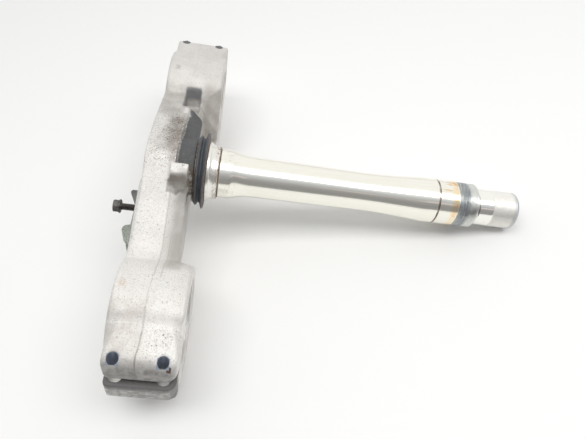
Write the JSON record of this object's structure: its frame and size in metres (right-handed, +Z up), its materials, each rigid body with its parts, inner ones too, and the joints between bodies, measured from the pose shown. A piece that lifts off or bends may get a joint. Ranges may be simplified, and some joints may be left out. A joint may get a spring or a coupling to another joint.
{
  "type": "motorcycle triple clamp",
  "caption": "Cast lower fork yoke with two split clamp rings, a steering stop and a long pressed-in steering stem carrying a bearing race and a rubber seal.",
  "frame": {"origin": "middle of the stem's bore, on the steering axis", "axes": "+Z up from the table the part lies on, +X along the stem towards its tip as seen from above, +Y across the yoke towards the fork clamp that is far from the camera"},
  "size_m": [0.293, 0.3038, 0.1011],
  "materials": {
    "cast_aluminium": "satin",
    "polished_alloy": "polished",
    "bearing_steel": "satin",
    "black_rubber": "matte",
    "dark_steel": "satin",
    "bolt_steel": "satin"
  },
  "bodies": {
    "root": {"lower_yoke": "cast_aluminium", "steering_stem": "polished_alloy", "bearing_inner_race": "bearing_steel", "dust_seal": "black_rubber", "seal_washer": "dark_steel", "hose_guide": "dark_steel", "guide_bolt": "bolt_steel"}
  },
  "joints": []
}
